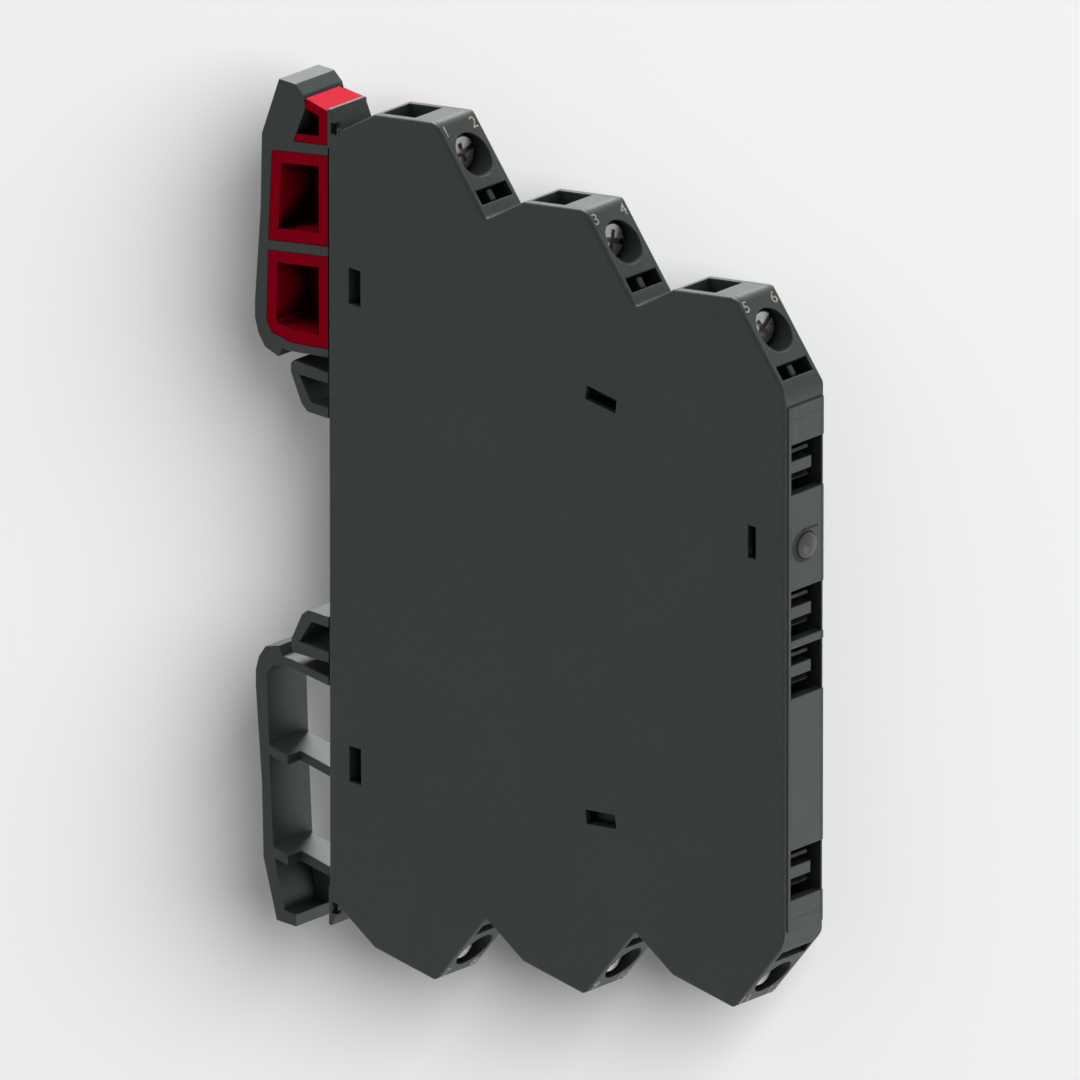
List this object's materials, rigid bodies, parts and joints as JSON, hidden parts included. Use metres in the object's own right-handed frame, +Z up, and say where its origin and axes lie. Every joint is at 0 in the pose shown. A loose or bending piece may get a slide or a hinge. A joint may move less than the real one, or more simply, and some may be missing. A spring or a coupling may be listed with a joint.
{
  "type": "signal conditioner",
  "caption": "Slim rail-mounted signal conditioner: flat plastic housing with stepped screw-terminal tiers, rail feet, a red foot insert, plug-in bridge receptacles and a status lamp.",
  "frame": {"origin": "middle of the plane on which the front of the 35 mm rail seats, at mid-width and mid-height", "axes": "+X from the rail to the front of the module, +Y across its width from the near side to the cover, +Z up along its height"},
  "size_m": [0.08, 0.0062, 0.1],
  "materials": {
    "housing_plastic": "fine matt texture",
    "red_plastic": "satin",
    "lamp_lens": "smoky clear moulded lens",
    "tinned_wire": "tinned",
    "board_laminate": "solder mask",
    "ferrite": "ground",
    "chip_plastic": "moulded",
    "capacitor_ceramic": "fired ceramic",
    "resistor_ceramic": "glazed ceramic",
    "contact_alloy": "tinned spring bronze",
    "tinned_copper": "tinned",
    "plated_steel": "bright nickel plating"
  },
  "bodies": {
    "housing": {"main_shell": "housing_plastic", "side_cover": "housing_plastic", "foot_insert": "red_plastic", "status_led": "lamp_lens", "led_leads": "tinned_wire", "circuit_board": "board_laminate", "transformer_core": "ferrite", "processor_chip": "chip_plastic", "isolator_chips": "chip_plastic", "filter_capacitors": "capacitor_ceramic", "resistors": "resistor_ceramic", "front_wall": "housing_plastic", "upper_foot": "housing_plastic", "lower_foot": "housing_plastic", "upper_hook": "housing_plastic", "lower_hook": "housing_plastic", "terminal_block_1": "housing_plastic", "terminal_block_2": "housing_plastic", "terminal_block_3": "housing_plastic", "terminal_block_4": "housing_plastic", "terminal_block_5": "housing_plastic", "terminal_block_6": "housing_plastic", "bridge_contact_1": "contact_alloy", "bridge_contact_2": "contact_alloy", "bridge_contact_3": "contact_alloy", "bridge_contact_4": "contact_alloy", "current_bar_1": "tinned_copper", "current_bar_2": "tinned_copper", "current_bar_3": "tinned_copper", "current_bar_4": "tinned_copper", "current_bar_5": "tinned_copper", "current_bar_6": "tinned_copper"},
    "screw_1": {"terminal_screw_1": "plated_steel"},
    "cage_1": {"clamp_cage_1": "plated_steel"},
    "screw_2": {"terminal_screw_2": "plated_steel"},
    "cage_2": {"clamp_cage_2": "plated_steel"},
    "screw_3": {"terminal_screw_3": "plated_steel"},
    "cage_3": {"clamp_cage_3": "plated_steel"},
    "screw_4": {"terminal_screw_4": "plated_steel"},
    "cage_4": {"clamp_cage_4": "plated_steel"},
    "screw_5": {"terminal_screw_5": "plated_steel"},
    "cage_5": {"clamp_cage_5": "plated_steel"},
    "screw_6": {"terminal_screw_6": "plated_steel"},
    "cage_6": {"clamp_cage_6": "plated_steel"}
  },
  "joints": [
    {"name": "screw_turn_1", "type": "hinge", "parent": "housing", "child": "screw_1", "pos_m": [0.01302, 0, 0.04455], "axis": [-0.9886, 0, -0.1504], "range_deg": [0, 1600]},
    {"name": "cage_slide_1", "type": "slide", "parent": "housing", "child": "cage_1", "axis": [0.9886, 0, 0.1504], "range_m": [0, 0.002]},
    {"name": "screw_turn_2", "type": "hinge", "parent": "housing", "child": "screw_2", "pos_m": [0.03532, 0, 0.04015], "axis": [-0.9886, 0, -0.1504], "range_deg": [0, 1600]},
    {"name": "cage_slide_2", "type": "slide", "parent": "housing", "child": "cage_2", "axis": [0.9886, 0, 0.1504], "range_m": [0, 0.002]},
    {"name": "screw_turn_3", "type": "hinge", "parent": "housing", "child": "screw_3", "pos_m": [0.05762, 0, 0.03575], "axis": [-0.9886, 0, -0.1504], "range_deg": [0, 1600]},
    {"name": "cage_slide_3", "type": "slide", "parent": "housing", "child": "cage_3", "axis": [0.9886, 0, 0.1504], "range_m": [0, 0.002]},
    {"name": "screw_turn_4", "type": "hinge", "parent": "housing", "child": "screw_4", "pos_m": [0.01302, 0, -0.04455], "axis": [-0.9886, 0, 0.1504], "range_deg": [0, 1600]},
    {"name": "cage_slide_4", "type": "slide", "parent": "housing", "child": "cage_4", "axis": [0.9886, 0, -0.1504], "range_m": [0, 0.002]},
    {"name": "screw_turn_5", "type": "hinge", "parent": "housing", "child": "screw_5", "pos_m": [0.03532, 0, -0.04015], "axis": [-0.9886, 0, 0.1504], "range_deg": [0, 1600]},
    {"name": "cage_slide_5", "type": "slide", "parent": "housing", "child": "cage_5", "axis": [0.9886, 0, -0.1504], "range_m": [0, 0.002]},
    {"name": "screw_turn_6", "type": "hinge", "parent": "housing", "child": "screw_6", "pos_m": [0.05762, 0, -0.03575], "axis": [-0.9886, 0, 0.1504], "range_deg": [0, 1600]},
    {"name": "cage_slide_6", "type": "slide", "parent": "housing", "child": "cage_6", "axis": [0.9886, 0, -0.1504], "range_m": [0, 0.002]}
  ],
  "couplings": [
    {"joint": "screw_turn_1", "follows": "cage_slide_1", "rad_per_m": 13963},
    {"joint": "screw_turn_2", "follows": "cage_slide_2", "rad_per_m": 13963},
    {"joint": "screw_turn_3", "follows": "cage_slide_3", "rad_per_m": 13963},
    {"joint": "screw_turn_4", "follows": "cage_slide_4", "rad_per_m": 13963},
    {"joint": "screw_turn_5", "follows": "cage_slide_5", "rad_per_m": 13963},
    {"joint": "screw_turn_6", "follows": "cage_slide_6", "rad_per_m": 13963}
  ]
}
